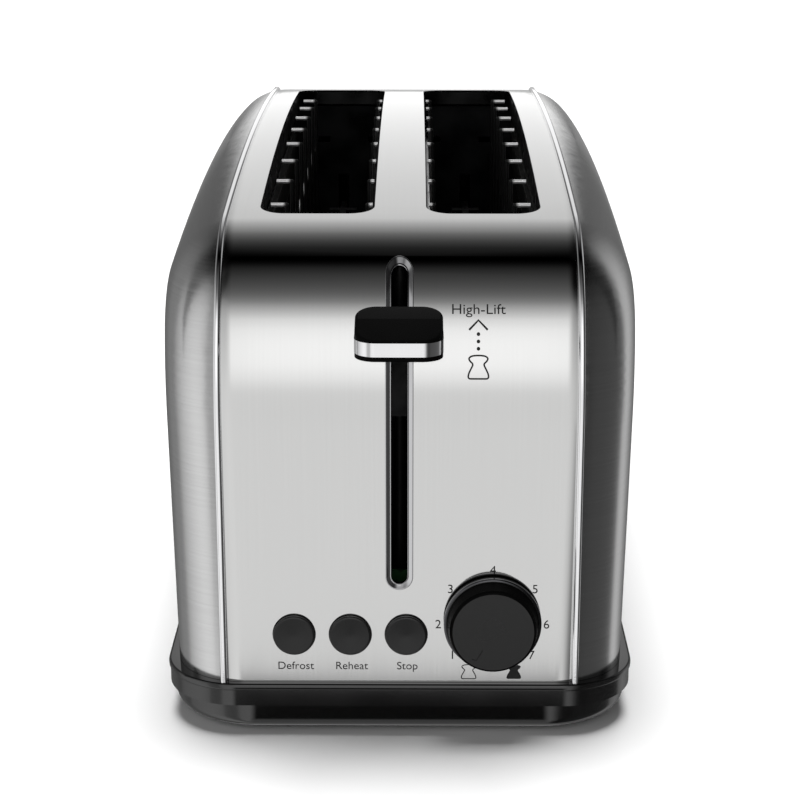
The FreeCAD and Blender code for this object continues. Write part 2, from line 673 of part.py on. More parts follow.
def make_heaters():
    along = (MIDDLE - S.chamber_half, MIDDLE + S.chamber_half)
    upright = (S.board_low, S.board_high)
    gauge, ribbon = S.board_gauge, S.ribbon_gauge
    for side, sign in (("left", -1), ("right", 1)):
        board_x = (S.side_board, S.side_board + gauge) if sign > 0 else (-S.side_board - gauge, -S.side_board)
        wire_x = (S.side_board - ribbon, S.side_board) if sign > 0 else (-S.side_board, -S.side_board + ribbon)
        subpart(block(side + "_heater_board", board_x, along, upright), side + "_heater_board")
        subpart(heating_wire(side + "_heating_wire", wire_x), side + "_heating_wire")
    half = gauge / 2
    subpart(block("centre_heater_board", (-half, half), along, upright), "centre_heater_board")
    faces = [heating_wire("centre_wire_a", (-half - ribbon, -half)),
             heating_wire("centre_wire_b", (half, half + ribbon))]
    subpart(gather("centre_heating_wire", faces), "centre_heating_wire")


def arch_height(y):
    """Height of the case's top over a Y that lies on its long arch."""
    reach = S.lower_radius.number - (S.lower_radius - S.upper_radius).number * math.cos(
        math.radians(S.lower_turn.number))
    turn = math.radians(S.upper_turn.number)
    span = S.front.number + MIDDLE.number - reach
    radius = S.upper_radius.number + span / math.cos(turn)
    crown = S.corner_start.number + (S.lower_radius - S.upper_radius).number * math.sin(
        math.radians(S.lower_turn.number)) - (radius - S.upper_radius.number) * math.sin(turn) + radius
    return crown - radius + math.sqrt(radius ** 2 - (y - MIDDLE.number) ** 2)


def guide_cage(name, sign, place, bend, side):
    """Welded wires that hold a slice upright: uprights with turned tops and two long wires."""
    radius = S.wire_radius
    x = sign * place
    pieces = []
    for number in range(8):
        y = MIDDLE + S.wire_pitch * (number - 3.5)
        top = as_size(round(arch_height(y.number), 2)) - S.bend_drop
        pieces.append(rod(f"{name}_upright_{number}", "Z", (x, y), radius, (S.cage_low, top)))
        pieces.append(ball(f"{name}_corner_{number}", (x, y, top), radius))
        ends = (x, x + sign * side * bend) if sign * side > 0 else (x + sign * side * bend, x)
        pieces.append(rod(f"{name}_bend_{number}", "X", (y, top), radius, ends))
    for number, level in enumerate((S.long_wire_low, S.long_wire_high)):
        long_x = x + sign * side * radius * 1.5
        pieces.append(rod(f"{name}_long_wire_{number}", "Y", (long_x, level), radius,
                          (MIDDLE - S.chamber_half - 4, MIDDLE + S.chamber_half + 4)))
    return subpart(join(name, pieces), name)


def make_cages():
    for side, sign in (("left", -1), ("right", 1)):
        guide_cage(side + "_outer_guide_cage", sign, S.outer_cage, S.outer_bend, 1)
        guide_cage(side + "_inner_guide_cage", sign, S.inner_cage, S.inner_bend, -1)


# ---------------------------------------------------------------- carriage

def make_racks():
    for side, sign in (("left", -1), ("right", 1)):
        x = sign * S.rack_x
        name = side + "_bread_rack"
        bar = block(name + "_bar", (x - S.rack_half, x + S.rack_half),
                    (behind(S.carriage_back + S.carriage_gauge), MIDDLE + S.chamber_half + 6),
                    (S.rack_low, S.rack_high))
        rungs = [rod(f"{name}_rung_{number}", "X", (MIDDLE + S.wire_pitch * (number - 4), S.rack_high - 0.4),
                     S.rung_radius, (x - S.rung_half, x + S.rung_half)) for number in range(9)]
        subpart(join(name, [bar] + rungs), name)


def make_carriage():
    rod_y = behind(S.rod_back)
    front_y = behind(S.carriage_back)
    back_y = behind(S.carriage_back + S.carriage_gauge)
    subpart(rod("guide_rod", "Z", (0, rod_y), S.rod_radius, (S.rim_top, S.rod_top)), "guide_rod")
    sleeve = rod("bush_sleeve", "Z", (0, rod_y), S.bush_radius, (S.sleeve_low, S.sleeve_high))
    bore = rod("bush_bore", "Z", (0, rod_y), S.rod_radius + S.running_gap, (S.sleeve_low - 4, S.sleeve_high + 4))
    subpart(cut("carriage_bush", sleeve, [bore]), "carriage_bush")
    web = block("carriage_web", (-S.web_half, S.web_half), (front_y, back_y), (S.carriage_low, S.carriage_high))
    cross = block("carriage_cross", (-S.cross_half, S.cross_half), (front_y, back_y),
                  (S.cross_low, S.cross_high))
    saddle = block("carriage_saddle", (-3, 3), (back_y, rod_y), (116, 140))
    lug = block("spring_lug", (17, 23), (back_y, behind(S.lug_back)), (S.lug_low, S.cross_high))
    clearance = rod("saddle_clearance", "Z", (0, rod_y), S.bush_radius, (100, 160))
    plate = cut("carriage_plate", join("carriage_solid", [web, cross, saddle, lug]), [clearance])
    subpart(plate, "carriage_plate")
    arm = block("lever_arm", (-S.arm_half, S.arm_half), (behind(-S.arm_reach), front_y), (S.arm_low, S.arm_high))
    subpart(arm, "lever_arm")
    keeper = block("keeper_plate", (-26, -7), (back_y, behind(S.keeper_back)),
                   (S.cross_high, S.cross_high + 2))
    subpart(keeper, "keeper_plate")
    return arm


def make_lever_knob(arm):
    """Black knob with a sloping front and a chromed band set round it."""
    body = new_body("knob_core")
    plan = new_sketch(body, "knob_plan", "XY_Plane", S.knob_low)
    plan_y = (behind(-S.knob_face), behind(-S.knob_rear))
    rounded_rectangle(plan, (-S.knob_half, S.knob_half), plan_y, S.knob_corner)
    pad(body, plan, S.knob_high - S.knob_low)
    side = new_sketch(body, "knob_slope", "YZ_Plane", -S.knob_half - 1)
    crest = S.knob_high
    polygon(side, [(behind(-S.knob_rear) + 1, crest), (behind(-S.crest_depth), crest - S.crest_drop),
                   (behind(-S.knob_face) - 1, crest - S.nose_drop), (behind(-S.knob_face) - 1, crest + 3),
                   (behind(-S.knob_rear) + 1, crest + 3)])
    sloped = pocket(body, side, S.knob_half * 2 + 2, reverse=True)
    fillet(body, "knob_round", sloped, S.knob_edge,
           lambda edge: edge.BoundBox.ZMin > (S.knob_high - S.nose_drop).number - 0.3 and edge.BoundBox.YMin <
           behind(-S.knob_rear).number - 3)
    gauge = S.band_gauge
    grow = 0.15
    outer = rounded_prism("band_block", (-S.knob_half - grow, S.knob_half + grow),
                          (plan_y[0] - grow, plan_y[1] + grow), (S.band_low, S.band_high), S.knob_corner + grow)
    inner = rounded_prism("band_inside", (-S.knob_half + gauge, S.knob_half - gauge),
                          (plan_y[0] + gauge, plan_y[1] - gauge), (S.band_low - 1, S.band_high + 1),
                          S.knob_corner - gauge)
    band = cut("lever_knob_band", outer, [inner, arm])
    subpart(band, "lever_knob_band")
    subpart(cut("lever_knob", body, [band, arm]), "lever_knob")


def make_spring():
    """Wound spring between the carriage's lug and the tab over it."""
    coil = doc.addObject("Part::Helix", "spring_line")
    bind(coil, {"Pitch": 2.9, "Height": 37.7, "Radius": 3.2,
                "Placement.Base.x": 20, "Placement.Base.y": behind(30), "Placement.Base.z": 123.6})
    section = doc.addObject("Part::Circle", "spring_section")
    section.Placement = FreeCAD.Placement(FreeCAD.Vector(), TURN_TO_AXIS["Y"])
    bind(section, {"Radius": 0.45, "Placement.Base.x": 23.2, "Placement.Base.y": behind(30),
                   "Placement.Base.z": 123.6})
    spring = doc.addObject("Part::Sweep", "lift_spring")
    spring.Sections = [section]
    spring.Spine = (coil, [])
    spring.Solid = True
    spring.Frenet = True
    subpart(spring, "lift_spring")


def make_magnet():
    y = (behind(22), behind(36))
    low, high = S.rim_top + 1.2, 38.7
    legs = [block(f"core_leg_{number}", (x, as_size(x) + width), y, (low, high))
            for number, (x, width) in enumerate(((-25, 2.5), (-18.7, 4), (-10.7, 2.5)))]
    yoke = block("core_yoke", (-25, -8.2), y, (low, low + 3))
    subpart(join("magnet_core", legs + [yoke]), "magnet_core")
    winding = block("coil_block", (-21.8, -11.6), (behind(20.8), behind(37.2)),
                    (low + 3.2, 37))
    hollow = block("coil_hollow", (-18.7, -14.7), y, (low, 40))
    subpart(cut("magnet_coil", winding, [hollow]), "magnet_coil")
    contact_y = (behind(16), behind(23))
    subpart(block("contact_block", (10, 26), contact_y, (low, 24.5)), "contact_block")
    leaves = []
    for number, x in enumerate((12, 20)):
        leaf = block(f"leaf_{number}", (x, x + 3), contact_y, (24.5, 25.1))
        bump = ball(f"leaf_bump_{number}", (x + 1.5, behind(19.6), 25), 1.5)
        trimmed = keep_common(f"leaf_point_{number}", [bump, block(
            f"leaf_point_span_{number}", (x, x + 3), contact_y, (25, 30))])
        leaves.append(join(f"contact_leaf_{number}", [leaf, trimmed]))
    subpart(gather("contact_leaves", leaves), "contact_leaves")


# ---------------------------------------------------------------- controls

def make_buttons():
    radius = S.button_radius
    outline = [(0, 1.6), (radius - 0.7, 1.8), (radius - 0.2, 1.65), (radius, 1.3), (radius, -1.1),
               (radius + 1, -1.1), (radius + 1, -2.2), (2, -2.2), (2, -6.7), (0, -6.7)]
    for name, x in BUTTONS.items():
        subpart(turned(name, outline, (x, -S.front, S.button_level), TO_FRONT), name)


def make_dial():
    shaft = S.shaft_radius
    centre = (S.dial_x, -S.front, S.dial_level)
    hub = S.shaft_reach
    knob = [(shaft, 0.6), (16.2, 0.6), (16.8, 1.2), (16.8, 2.9), (16.4, 3.2), (16.1, 3.32), (15.9, 3.4),
            (14.9, 9), (14.5, 9.7), (13.9, 10), (0, 10), (0, hub), (shaft, hub)]
    ring = [(16.1, 2.2), (16.8, 2.2), (16.8, 2.9), (16.4, 3.2), (16.1, 3.32)]
    skirt_ring = turned("browning_knob_ring", ring, centre, TO_FRONT)
    body = turned("knob_turned", knob, centre, TO_FRONT)
    subpart(cut("browning_knob", body, [skirt_ring]), "browning_knob")
    subpart(skirt_ring, "browning_knob_ring")
    shaft_rod = rod("potentiometer_shaft", "Y", (S.dial_x, S.dial_level), shaft,
                    (behind(-hub), behind(11)))
    subpart(shaft_rod, "potentiometer_shaft")


def make_electronics():
    back = (behind(S.circuit_back), behind(S.circuit_back + S.circuit_gauge))
    subpart(block("control_board", (-47, 50), back, (22, 56)), "control_board")
    brackets = [block(f"board_bracket_{number}", (x, x + 6), (back[1], back[1] + 3),
                      (S.rim_top + 1.2, 34)) for number, x in enumerate((-46, 42))]
    subpart(gather("board_brackets", brackets), "board_brackets")
    case = block("pot_case", (S.dial_x - 8.5, S.dial_x + 8.5), (behind(6.5), back[0]),
                 (S.dial_level - 8.5, S.dial_level + 8.5))
    neck = rod("pot_neck", "Y", (S.dial_x, S.dial_level), 4.5, (behind(3.5), behind(7)))
    bore = rod("pot_bore", "Y", (S.dial_x, S.dial_level), S.shaft_radius + 0.05,
               (behind(2), behind(11.5)))
    subpart(cut("browning_potentiometer", join("pot_solid", [case, neck]), [bore]), "browning_potentiometer")
    switches = []
    for name, x in BUTTONS.items():
        housing = block(name + "_switch_case", (x - 3, x + 3), (behind(9.5), back[0]),
                        (S.button_level - 3, S.button_level + 3))
        plunger = rod(name + "_plunger", "Y", (x, S.button_level), 1.6, (behind(9), behind(10)))
        switches.append(join(name + "_switch", [housing, plunger]))
    subpart(gather("tact_switches", switches), "tact_switches")
    subpart(block("relay", (11.5, 22.5), (behind(4), back[0]), (38, 54)), "relay")
    subpart(rod("capacitor", "Y", (44.8, 29), 4, (behind(3.5), back[0])), "capacitor")


def make_rear_entry():
    outline = [(S.gland_bore, -8), (6.2, -8), (6.4, -7), (6.4, 0), (9, 0), (9.5, 0.6), (9.5, 2.4), (9, 3),
               (6.6, 3.2), (6, S.gland_reach - 0.6), (5.4, S.gland_reach), (S.gland_bore, S.gland_reach)]
    gland = turned("cord_gland", outline, (S.gland_x, S.rear, S.gland_level), TO_REAR)
    subpart(gland, "cord_gland")
    start = MIDDLE + S.chamber_half + S.chassis_gauge
    terminal = block("terminal_solid", (34, 52), (start, start + 10), (28, 42))
    ways = [rod(f"terminal_way_{number}", "Y", (x, 35), 1.6, (start + 3, start + 12))
            for number, x in enumerate((38, 43, 48))]
    subpart(cut("terminal_block", terminal, ways), "terminal_block")


def check_and_write():
    doc.recompute()
    failed = [item.Label for item in doc.Objects if {"Invalid", "Error"} & set(item.State)]
    if failed:
        raise RuntimeError("objects that failed: " + ", ".join(failed))
    for item in SUBPARTS:
        if item.Shape.isNull() or not item.Shape.isValid():
            raise RuntimeError(item.Label + " has no valid shape")
    os.makedirs("parts", exist_ok=True)
    for item in SUBPARTS:
        item.Shape.exportStep(f"parts/{item.Label}.step")
        print(f"{item.Label}: {len(item.Shape.Solids)} solids, {item.Shape.Volume / 1000:.2f} cm3")


def main():
    void = make_case()
    make_slot_liners(void)
    make_lever_trim()
    make_base_skirt()
    make_bottom_plate()
    make_feet_and_screws()
    make_crumb_tray()
    make_chassis()
    make_heaters()
    make_cages()
    make_racks()
    make_lever_knob(make_carriage())
    make_spring()
    make_magnet()
    make_buttons()
    make_dial()
    make_electronics()
    make_rear_entry()
    check_and_write()


main()
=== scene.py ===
"""Looks of the pop-up toaster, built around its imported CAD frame. Lengths are in metres."""
import json
import math

import bmesh
import bpy
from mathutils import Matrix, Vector
from mathutils.bvhtree import BVHTree

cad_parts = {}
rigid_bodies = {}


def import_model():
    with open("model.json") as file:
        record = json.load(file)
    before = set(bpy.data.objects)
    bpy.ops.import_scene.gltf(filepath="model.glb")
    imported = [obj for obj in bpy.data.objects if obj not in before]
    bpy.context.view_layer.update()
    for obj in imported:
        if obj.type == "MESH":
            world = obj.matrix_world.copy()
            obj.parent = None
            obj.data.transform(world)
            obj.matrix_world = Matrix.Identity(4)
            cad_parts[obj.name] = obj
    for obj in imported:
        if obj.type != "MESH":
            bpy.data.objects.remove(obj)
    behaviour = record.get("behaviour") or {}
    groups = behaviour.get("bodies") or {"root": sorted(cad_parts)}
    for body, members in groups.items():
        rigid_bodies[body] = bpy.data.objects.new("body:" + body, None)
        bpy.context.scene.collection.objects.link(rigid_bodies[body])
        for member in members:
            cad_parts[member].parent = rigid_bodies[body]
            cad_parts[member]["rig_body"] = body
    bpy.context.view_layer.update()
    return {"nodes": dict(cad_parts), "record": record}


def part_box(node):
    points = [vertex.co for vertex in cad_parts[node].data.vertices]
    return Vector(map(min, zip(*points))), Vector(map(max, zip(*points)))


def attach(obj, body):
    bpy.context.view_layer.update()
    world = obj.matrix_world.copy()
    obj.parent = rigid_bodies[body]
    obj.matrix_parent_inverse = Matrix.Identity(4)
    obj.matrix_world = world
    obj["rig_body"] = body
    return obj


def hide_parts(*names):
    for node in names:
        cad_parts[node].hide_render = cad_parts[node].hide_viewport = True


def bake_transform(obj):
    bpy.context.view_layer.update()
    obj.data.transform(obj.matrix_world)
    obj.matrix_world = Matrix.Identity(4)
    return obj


MM = 0.001
WELD = 0.002 * MM

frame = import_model()
nodes = frame["nodes"]
scene = bpy.context.scene


def middle(node):
    """Centre of a CAD node's box."""
    low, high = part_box(node)
    return (low + high) / 2


# ---------------------------------------------------------------- shader graphs

# The mix node's number and colour sockets share names, so they are told apart by place.
MIX_NUMBERS = (2, 3)
MIX_COLOURS = (6, 7)
MIX_COLOUR_RESULT = 2

# Depths of surface relief.
BRUSH_RELIEF = 0.04 * MM
FINE_RELIEF = 0.05 * MM
TRACE_RELIEF = 0.1 * MM
COARSE_RELIEF = 0.2 * MM

POLISH_CHANGE = 0.35


class Graph:
    """A node tree with short calls for the nodes that the materials use."""

    def __init__(self, tree):
        self.tree = tree
        tree.nodes.clear()

    def add(self, kind, inputs=None, **settings):
        node = self.tree.nodes.new(kind)
        for key, value in settings.items():
            setattr(node, key, value)
        for key, value in (inputs or {}).items():
            self.feed(node.inputs[key], value)
        return node

    def feed(self, socket, value):
        if isinstance(value, bpy.types.NodeSocket):
            self.tree.links.new(value, socket)
        else:
            socket.default_value = value

    def maths(self, operation, *values):
        node = self.add("ShaderNodeMath", operation=operation)
        for socket, value in zip(node.inputs, values):
            self.feed(socket, value)
        return node.outputs[0]

    def place(self, scale):
        """Object coordinates stretched by a scale for each axis."""
        where = self.add("ShaderNodeTexCoord").outputs["Object"]
        return self.add("ShaderNodeMapping", {"Vector": where, "Scale": scale}).outputs[0]

    def noise(self, scale, detail=3.0, rough=0.5):
        return self.add("ShaderNodeTexNoise", {"Vector": self.place(scale), "Scale": 1.0, "Detail": detail,
                                               "Roughness": rough}).outputs["Fac"]

    def spread(self, value, low, high, start=0.3, end=0.7):
        """A value between start and end, spread from low to high."""
        return self.add("ShaderNodeMapRange", {"Value": value, "From Min": start, "From Max": end,
                                               "To Min": low, "To Max": high}).outputs[0]

    def shade(self, value, dark, light):
        """Two colours mixed by a value."""
        node = self.add("ShaderNodeMix", {"Factor": value}, data_type="RGBA")
        for socket, colour in zip(MIX_COLOURS, (dark, light)):
            self.feed(node.inputs[socket], (*colour, 1.0))
        return node.outputs[MIX_COLOUR_RESULT]

    def ramp(self, value, stops):
        """A grey value that follows (place, brightness) stops."""
        node = self.add("ShaderNodeFloatCurve", {"Value": value})
        curve = node.mapping.curves[0]
        for point, (at, level) in zip((curve.points[0], curve.points[-1]), (stops[0], stops[-1])):
            point.location = (at, level)
        for at, level in stops[1:-1]:
            curve.points.new(at, level)
        node.mapping.update()
        return node.outputs[0]

    def bump(self, height, strength, distance):
        return self.add("ShaderNodeBump", {"Height": height, "Strength": strength,
                                           "Distance": distance}).outputs[0]


def material(name, metallic, roughness, **fixed):
    """A new material with a principled shader and its graph."""
    made = bpy.data.materials.new(name)
    made.use_nodes = True
    graph = Graph(made.node_tree)
    shader = graph.add("ShaderNodeBsdfPrincipled", {"Metallic": metallic, "Roughness": roughness})
    for key, value in fixed.items():
        shader.inputs[key.replace("_", " ")].default_value = value
    output = graph.add("ShaderNodeOutputMaterial")
    graph.tree.links.new(shader.outputs[0], output.inputs[0])
    return made, graph, shader.inputs


def tinted(colour, factor):
    return tuple(channel * factor for channel in colour)


def brushed(name, colour, roughness, stretch, grain, anisotropic, turn):
    """Brushed sheet metal: streaks that vary fast across the brushing and slowly along it."""
    made, graph, inputs = material(name, 1.0, roughness, Anisotropic=anisotropic,
                                   Anisotropic_Rotation=turn)
    streak = graph.noise(stretch, 4.0, 0.65)
    cloud = graph.noise((9.0, 9.0, 9.0), 2.0)
    mixed = graph.maths("ADD", graph.maths("MULTIPLY", streak, 0.7), graph.maths("MULTIPLY", cloud, 0.3))
    graph.feed(inputs["Base Color"], graph.shade(graph.spread(mixed, 0, 1, 0.35, 0.65),
                                                 tinted(colour, 1 - grain), tinted(colour, 1 + grain)))
    graph.feed(inputs["Roughness"], graph.spread(mixed, roughness * 0.8, roughness * 1.2))
    graph.feed(inputs["Normal"], graph.bump(streak, 1.2 * grain, BRUSH_RELIEF))
    tangent = graph.add("ShaderNodeTangent", direction_type="RADIAL", axis="Z")
    graph.feed(inputs["Tangent"], tangent.outputs[0])
    return made


def metal(name, colour, roughness, metallic=1.0, scale=90.0, vary=0.08):
    """Plain sheet, wire or casting with slightly uneven colour and polish."""
    made, graph, inputs = material(name, metallic, roughness)
    cloud = graph.noise((scale, scale, scale))
    fine = graph.noise((scale * 22, scale * 22, scale * 22), 2.0)
    graph.feed(inputs["Base Color"], graph.shade(graph.spread(cloud, 0, 1), tinted(colour, 1 - vary),
                                                 tinted(colour, 1 + vary)))
    graph.feed(inputs["Roughness"], graph.spread(cloud, roughness * (1 - POLISH_CHANGE),
                                                 roughness * (1 + POLISH_CHANGE)))
    graph.feed(inputs["Normal"], graph.bump(fine, 0.08, FINE_RELIEF))
    return made


def moulded(name, colour, roughness, level, depth=0.12):
    """Moulded plastic or rubber with a fine spark-eroded grain."""
    made, graph, inputs = material(name, 0.0, roughness, Specular_IOR_Level=level)
    grain = graph.noise((900.0, 900.0, 900.0), 3.0, 0.6)
    cloud = graph.noise((30.0, 30.0, 30.0), 2.0)
    graph.feed(inputs["Base Color"], graph.shade(graph.spread(cloud, 0, 1), tinted(colour, 0.8),
                                                 tinted(colour, 1.2)))
    graph.feed(inputs["Roughness"], graph.spread(cloud, roughness * 0.85, roughness * 1.15))
    graph.feed(inputs["Normal"], graph.bump(grain, depth, FINE_RELIEF))
    return made


# Where the painted shade on the guide wires stops and they turn bright: beyond or within these distances from
# the middle, and above this height.
BRIGHT_BEYOND = (41.4 * MM, 42.6 * MM)
BRIGHT_FROM = (7.0 * MM, 8.0 * MM)
BRIGHT_WITHIN = (11.0 * MM, 11.7 * MM)
BRIGHT_ABOVE = (140 * MM, 143 * MM)


def wire_with_painted_shade(name, colour, painted_shade_colour):
    """Plated wire painted dark as shade inside the slots; only its ends near the top, which bend away from the
    bread, keep the clean colour.
    """
    made, graph, inputs = material(name, 0.6, 0.3)
    where = graph.add("ShaderNodeTexCoord").outputs["Object"]
    place = graph.add("ShaderNodeSeparateXYZ", {"Vector": where}).outputs
    across = graph.maths("ABSOLUTE", place["X"])
    outer_end = graph.spread(across, 0, 1, *BRIGHT_BEYOND)
    inner_end = graph.maths("MULTIPLY", graph.spread(across, 1, 0, *BRIGHT_WITHIN),
                            graph.spread(across, 0, 1, *BRIGHT_FROM))
    high = graph.spread(place["Z"], 0, 1, *BRIGHT_ABOVE)
    free_of_painted_shade = graph.maths("MULTIPLY", graph.maths("MAXIMUM", outer_end, inner_end), high)
    graph.feed(inputs["Base Color"], graph.shade(free_of_painted_shade, painted_shade_colour, colour))
    graph.feed(inputs["Roughness"], graph.spread(free_of_painted_shade, 0.5, 0.28, 0, 1))
    graph.feed(inputs["Normal"], graph.bump(graph.noise((2000.0, 2000.0, 2000.0), 2.0), 0.08, FINE_RELIEF))
    return made


def mica(name):
    """Pressed mica in overlapping flakes, painted far darker than clean mica as shade, because the photo's slots
    are dark.
    """
    made, graph, inputs = material(name, 0.0, 0.55)
    cells = graph.add("ShaderNodeTexVoronoi", {"Vector": graph.place((160.0, 160.0, 160.0)), "Scale": 1.0})
    burnt = graph.noise((14.0, 14.0, 14.0))
    flake = graph.maths("MULTIPLY", cells.outputs["Distance"], graph.spread(burnt, 0.5, 1.2))
    graph.feed(inputs["Base Color"], graph.shade(flake, (0.003, 0.0026, 0.0022), (0.008, 0.007, 0.006)))
    graph.feed(inputs["Normal"], graph.bump(cells.outputs["Distance"], 0.3, COARSE_RELIEF))
    return made


def wound(name, colour):
    """Enamelled wire wound in rows about a coil, with painted shade darkening the grooves between the rows."""
    made, graph, inputs = material(name, 1.0, 0.32)
    rows = graph.add("ShaderNodeTexWave", {"Vector": graph.place((1.0, 1.0, 2200.0)), "Scale": 1.0,
                                           "Distortion": 0.6}, bands_direction="Z").outputs["Fac"]
    graph.feed(inputs["Base Color"], graph.shade(rows, tinted(colour, 0.45), colour))
    graph.feed(inputs["Normal"], graph.bump(rows, 0.8, COARSE_RELIEF))
    return made


def laminate(name):
    """Green circuit laminate with paler traces under the lacquer."""
    made, graph, inputs = material(name, 0.0, 0.3)
    trace = graph.add("ShaderNodeTexVoronoi", {"Vector": graph.place((220.0, 220.0, 220.0)), "Scale": 1.0},
                      distance="MANHATTAN", feature="F1").outputs["Distance"]
    edge = graph.spread(trace, 0, 1, 0.55, 0.6)
    graph.feed(inputs["Base Color"], graph.shade(edge, (0.006, 0.03, 0.01), (0.015, 0.065, 0.022)))
    graph.feed(inputs["Normal"], graph.bump(edge, 0.3, TRACE_RELIEF))
    return made


STEEL = (0.64, 0.64, 0.635)
SHELL = (0.62, 0.62, 0.62)
WRAP_LINES = (1500.0, 12.0, 12.0)
ROUND_LINES = (14.0, 14.0, 1700.0)

# Painted shade: the metals inside the slots, the wire included, are much darker than clean metal, to match the
# photo's nearly black slots.
finishes = {
    "satin_steel": brushed("satin_steel", STEEL, 0.075, WRAP_LINES, 0.012, 0.25, 0.0),
    "brushed_shell": brushed("brushed_shell", SHELL, 0.2, ROUND_LINES, 0.045, 0.5, 0.25),
    "chrome_trim": metal("chrome_trim", (0.86, 0.86, 0.87), 0.07, vary=0.02),
    "black_moulding": moulded("black_moulding", (0.003, 0.003, 0.003), 0.05, 0.85, depth=0.01),
    "gloss_black": moulded("gloss_black", (0.004, 0.004, 0.004), 0.28, 0.5, depth=0.03),
    "soft_black": moulded("soft_black", (0.002, 0.002, 0.002), 0.25, 0.015, depth=0.03),
    "foot_rubber": moulded("foot_rubber", (0.012, 0.012, 0.012), 0.75, 0.3, depth=0.3),
    "zinc_sheet": metal("zinc_sheet", (0.02, 0.02, 0.021), 0.42, scale=60.0, vary=0.25),
    "slot_rim_steel": metal("slot_rim_steel", (0.03, 0.03, 0.03), 0.35),
    "plated_wire": wire_with_painted_shade("plated_wire", (0.78, 0.78, 0.78), (0.012, 0.012, 0.012)),
    "dark_lever_steel": metal("dark_lever_steel", (0.01, 0.01, 0.01), 0.5, metallic=0.4),
    "mica_board": mica("mica_board"),
    "heating_ribbon": metal("heating_ribbon", (0.02, 0.018, 0.016), 0.45, scale=400.0, vary=0.25),
    "brass_parts": metal("brass_parts", (0.7, 0.5, 0.2), 0.25),
    "core_iron": metal("core_iron", (0.2, 0.2, 0.21), 0.5, vary=0.2),
    "copper_winding": wound("copper_winding", (0.72, 0.3, 0.12)),
    "circuit_laminate": laminate("circuit_laminate"),
    "dark_component": moulded("dark_component", (0.02, 0.02, 0.024), 0.4, 0.4),
    "shaft_aluminium": metal("shaft_aluminium", (0.7, 0.7, 0.7), 0.25, scale=300.0),
    "black_chrome": metal("black_chrome", (0.09, 0.09, 0.095), 0.12, vary=0.02),
    "collar_chrome": metal("collar_chrome", (0.55, 0.55, 0.56), 0.09, vary=0.02),
    "screw_steel": metal("screw_steel", (0.55, 0.55, 0.56), 0.25, scale=200.0),
}
slot_of = {row["node"]: row["material_slot"] for row in frame["record"]["subparts"]}
for node, item in nodes.items():
    item.data.materials.clear()
    item.data.materials.append(finishes[slot_of[node]])


def shown(name, vertices, faces, finish, smooth_angle):
    """A new mesh object that takes a finish and is smooth except at its sharp edges."""
    mesh = bpy.data.meshes.new(name)
    mesh.from_pydata(vertices, [], faces)
    work = bmesh.new()
    work.from_mesh(mesh)
    bmesh.ops.remove_doubles(work, verts=work.verts, dist=WELD)
    bmesh.ops.recalc_face_normals(work, faces=work.faces)
    work.to_mesh(mesh)
    work.free()
    mesh.polygons.foreach_set("use_smooth", [True] * len(mesh.polygons))
    mesh.set_sharp_from_angle(angle=math.radians(smooth_angle))
    mesh.materials.append(finishes[finish])
    item = bpy.data.objects.new(name, mesh)
    scene.collection.objects.link(item)
    return item


def refined(node, smooth_angle=25, edge=0.0, reach=None):
    """Stands for a CAD node with one welded skin, so that its shading runs on over the face joins.

    Given a reach, the skin is not attached to a body; its place is baked into its mesh, and the reach's two
    points are not used.
    """
    source = nodes[node].data
    vertices = [v.co for v in source.vertices]
    faces = [tuple(p.vertices) for p in source.polygons]
    item = shown(node + "_skin", vertices, faces, slot_of[node], smooth_angle)
    if edge:
        soften = item.modifiers.new("soften", "BEVEL")
        soften.width = edge
        soften.segments = 3
        soften.limit_method = "ANGLE"
        soften.angle_limit = math.radians(smooth_angle)
        soften.use_clamp_overlap = True
        soften.harden_normals = True
    if reach is None:
        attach(item, nodes[node]["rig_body"])
    else:
        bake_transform(item)
    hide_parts(node)
    return item


for node in ("centre_cover", "left_side_shell", "right_side_shell", "left_seam_bead", "right_seam_bead",
             "lever_knob_band"):
    refined(node)
for node, smooth_angle, edge in (("base_skirt", 30, 0.25), ("lever_knob", 30, 0.35)):
    refined(node, smooth_angle, edge * MM)
for node in ("defrost_button", "reheat_button", "stop_button"):
    refined(node, 12, 0.2 * MM)

SPRING_END = 1.5 * MM
spring_low, spring_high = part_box("lift_spring")
refined("lift_spring", 60, reach=((spring_low.x, spring_low.y, spring_high.z - SPRING_END),
                                  (spring_low.x, spring_low.y, spring_low.z + SPRING_END)))
# The dial's front keeps its slot's finish and its side is a softer black. A polygon belongs to the front
# when its normal's Y is below this.
FACES_FRONT = -0.9
dial_skin = refined("browning_knob", 12)
dial_skin.data.materials.append(finishes["soft_black"])
for side in dial_skin.data.polygons:
    side.material_index = 0 if side.normal.y < FACES_FRONT else 1

ink, ink_graph, ink_inputs = material("printed_ink", 0.0, 0.45, Specular_IOR_Level=0.2)
ink_graph.feed(ink_inputs["Base Color"], ink_graph.shade(ink_graph.noise((700.0, 700.0, 700.0)),
                                                         (0.006, 0.006, 0.006), (0.018, 0.018, 0.018)))

# ---------------------------------------------------------------- printed marks

panel = nodes["centre_cover"]
panel_tree = BVHTree.FromPolygons([v.co for v in panel.data.vertices],
                                  [tuple(p.vertices) for p in panel.data.polygons])
FRONT_VIEW = -1.0
LONGEST_EDGE = 0.6 * MM


def panel_face(x, z):
    """Y of the panel's outer face at a point of the front."""
    hit = panel_tree.ray_cast(Vector((x, FRONT_VIEW, z)), Vector((0, 1, 0)))[0]
    return hit.y


def as_mesh(curve_item):
    """The curve or text object's mesh, with the curve removed."""
    bpy.context.view_layer.update()
    mesh = bpy.data.meshes.new_from_object(curve_item)
    bpy.data.objects.remove(curve_item)
    return mesh


